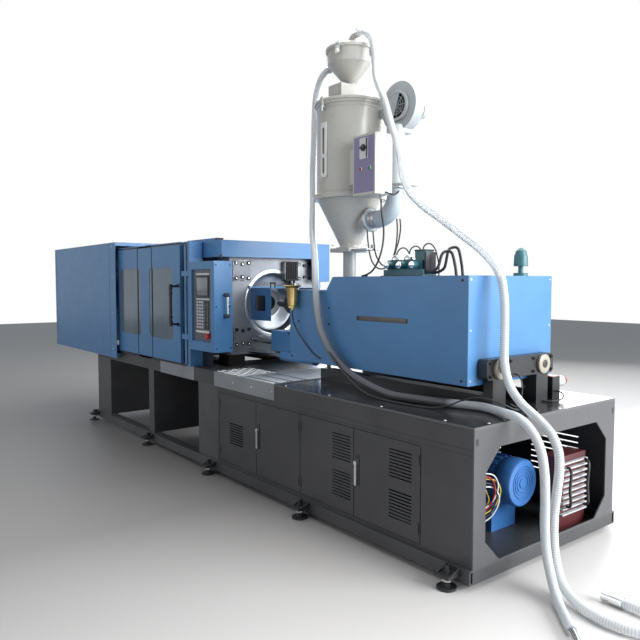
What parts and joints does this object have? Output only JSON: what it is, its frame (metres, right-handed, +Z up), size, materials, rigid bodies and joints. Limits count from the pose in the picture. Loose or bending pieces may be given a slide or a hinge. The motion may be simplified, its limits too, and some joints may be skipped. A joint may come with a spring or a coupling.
{
  "type": "injection moulding machine",
  "caption": "Horizontal injection moulding machine with a hydraulic clamp, sliding guard doors, operator console and a hopper dryer with vacuum receiver on its injection unit.",
  "frame": {"origin": "on the floor, on the centre plane, under the mould face of the fixed platen", "axes": "+X toward the injection end, -Y toward the operator, +Z up"},
  "size_m": [7.342, 1.9764, 3.1849],
  "materials": {
    "graphite_paint": "satin dark grey paint",
    "light_sheet": "bare light sheet",
    "guard_blue": "satin blue paint",
    "cast_steel": "machined",
    "tool_steel": "machined",
    "hard_chrome": "polished",
    "black_paint": "satin black",
    "window": "tinted clear sheet",
    "cream_paint": "gloss cream",
    "duct_wrap": "woven wrap",
    "grey_green": "satin",
    "teal_paint": "satin",
    "brass": "satin",
    "dark_red": "satin",
    "panel_white": "matte",
    "panel_grey": "matte",
    "signal_red": "gloss",
    "signal_green": "gloss",
    "black_plastic": "matte",
    "hose_clear": "translucent",
    "rubber_black": "matte"
  },
  "bodies": {
    "base": {"base_frame": "graphite_paint", "cabinet_frame": "graphite_paint", "purge_tray": "light_sheet", "levelling_feet": "black_paint", "fixed_platen": "cast_steel", "rear_platen": "cast_steel", "tie_bars": "hard_chrome", "clamp_cylinder": "guard_blue", "rear_cover": "guard_blue", "clamp_hood": "guard_blue", "guard_posts": "guard_blue", "junction_box": "black_plastic", "bed_legs": "graphite_paint", "bar_support": "black_paint", "pump_motor": "guard_blue", "oil_cooler": "dark_red", "contactor_panel": "panel_white", "lubricator": "black_plastic", "suction_lance": "cast_steel"},
    "moving_platen": {"moving_platen": "cast_steel", "clamp_ram": "hard_chrome"},
    "ejector": {"ejector_plate": "tool_steel"},
    "front_door": {"front_door": "guard_blue", "door_windows": "window"},
    "back_door": {"back_door": "guard_blue"},
    "carriage": {"carriage_block": "guard_blue", "barrel": "tool_steel", "injection_cover": "guard_blue", "dryer_base": "cream_paint", "dryer_cone": "cream_paint", "dryer_drum": "cream_paint", "dryer_lid": "cream_paint", "receiver": "cream_paint", "receiver_lid": "cream_paint", "blower_housing": "grey_green", "air_duct": "duct_wrap", "dryer_control": "cream_paint", "valve_block": "teal_paint", "work_lamp": "brass", "vacuum_hose": "hose_clear", "material_hose": "hose_clear", "dryer_lead": "rubber_black", "lamp_lead": "rubber_black"},
    "crosshead": {"injection_crosshead": "tool_steel"},
    "screw": {"screw": "hard_chrome"},
    "feed_gate": {"feed_gate": "cast_steel"},
    "blower_impeller": {"blower_impeller": "tool_steel"},
    "controller_knob": {"controller_knob": "black_plastic"},
    "start_button": {"start_button": "signal_green"},
    "stop_button": {"stop_button": "signal_red"},
    "purge_guard": {"purge_guard": "guard_blue"},
    "console": {"console_housing": "guard_blue", "console_panel": "panel_grey"},
    "e_stop": {"e_stop": "signal_red"},
    "cabinet_door_1": {"cabinet_door_1": "graphite_paint"},
    "cabinet_door_2": {"cabinet_door_2": "graphite_paint"},
    "cabinet_door_3": {"cabinet_door_3": "graphite_paint"},
    "cabinet_door_4": {"cabinet_door_4": "graphite_paint"},
    "latch_lever_1": {"latch_lever_1": "hard_chrome"},
    "latch_lever_2": {"latch_lever_2": "hard_chrome"}
  },
  "joints": [
    {"name": "clamp_stroke", "type": "slide", "parent": "base", "child": "moving_platen", "axis": [1, 0, 0], "range_m": [0, 0.58]},
    {"name": "ejector_stroke", "type": "slide", "parent": "moving_platen", "child": "ejector", "axis": [1, 0, 0], "range_m": [0, 0.13]},
    {"name": "front_door_slide", "type": "slide", "parent": "base", "child": "front_door", "axis": [-1, 0, 0], "range_m": [0, 1.1]},
    {"name": "back_door_slide", "type": "slide", "parent": "base", "child": "back_door", "axis": [-1, 0, 0], "range_m": [0, 1.1]},
    {"name": "carriage_slide", "type": "slide", "parent": "base", "child": "carriage", "axis": [-1, 0, 0], "range_m": [0, 0.25], "deforming": ["vacuum_hose", "material_hose"]},
    {"name": "injection_stroke", "type": "slide", "parent": "carriage", "child": "crosshead", "axis": [-1, 0, 0], "range_m": [0, 0.18]},
    {"name": "screw_rotation", "type": "hinge", "parent": "crosshead", "child": "screw", "pos_m": [1.5, 0, 1.28], "axis": [1, 0, 0], "continuous": true},
    {"name": "feed_gate_slide", "type": "slide", "parent": "carriage", "child": "feed_gate", "axis": [-1, 0, 0], "range_m": [0, 0.11]},
    {"name": "blower_spin", "type": "hinge", "parent": "carriage", "child": "blower_impeller", "pos_m": [1.605, 0.08, 2.605], "axis": [0, 1, 0], "continuous": true},
    {"name": "controller_knob_turn", "type": "hinge", "parent": "carriage", "child": "controller_knob", "pos_m": [1.549, -0.2, 2.312], "axis": [0, 1, 0], "range_deg": [0, 90]},
    {"name": "start_button_push", "type": "slide", "parent": "carriage", "child": "start_button", "axis": [0, 1, 0], "range_m": [0, 0.004], "stiffness_N_per_m": 900, "springref_m": -0.001},
    {"name": "stop_button_push", "type": "slide", "parent": "carriage", "child": "stop_button", "axis": [0, 1, 0], "range_m": [0, 0.004], "stiffness_N_per_m": 900, "springref_m": -0.001},
    {"name": "purge_guard_lift", "type": "hinge", "parent": "base", "child": "purge_guard", "pos_m": [0.212, 0, 1.412], "axis": [0, -1, 0], "range_deg": [0, 40]},
    {"name": "console_swing", "type": "hinge", "parent": "base", "child": "console", "pos_m": [0.04, -0.69, 1.27], "axis": [0, 0, -1], "range_deg": [0, 80]},
    {"name": "e_stop_push", "type": "slide", "parent": "console", "child": "e_stop", "axis": [0, 1, 0], "range_m": [0, 0.006], "stiffness_N_per_m": 1200, "springref_m": -0.001},
    {"name": "cabinet_door_1_hinge", "type": "hinge", "parent": "base", "child": "cabinet_door_1", "pos_m": [0.423, -0.63, 0.37], "axis": [0, 0, -1], "range_deg": [0, 88]},
    {"name": "cabinet_door_2_hinge", "type": "hinge", "parent": "base", "child": "cabinet_door_2", "pos_m": [1.4245, -0.63, 0.37], "axis": [0, 0, 1], "range_deg": [0, 88]},
    {"name": "cabinet_door_3_hinge", "type": "hinge", "parent": "base", "child": "cabinet_door_3", "pos_m": [1.4505, -0.63, 0.37], "axis": [0, 0, -1], "range_deg": [0, 88]},
    {"name": "cabinet_door_4_hinge", "type": "hinge", "parent": "base", "child": "cabinet_door_4", "pos_m": [2.452, -0.63, 0.37], "axis": [0, 0, 1], "range_deg": [0, 88]},
    {"name": "latch_lever_1_turn", "type": "hinge", "parent": "cabinet_door_2", "child": "latch_lever_1", "pos_m": [0.95475, -0.65, 0.435], "axis": [0, -1, 0], "range_deg": [0, 90]},
    {"name": "latch_lever_2_turn", "type": "hinge", "parent": "cabinet_door_4", "child": "latch_lever_2", "pos_m": [1.98225, -0.65, 0.435], "axis": [0, -1, 0], "range_deg": [0, 90]}
  ]
}
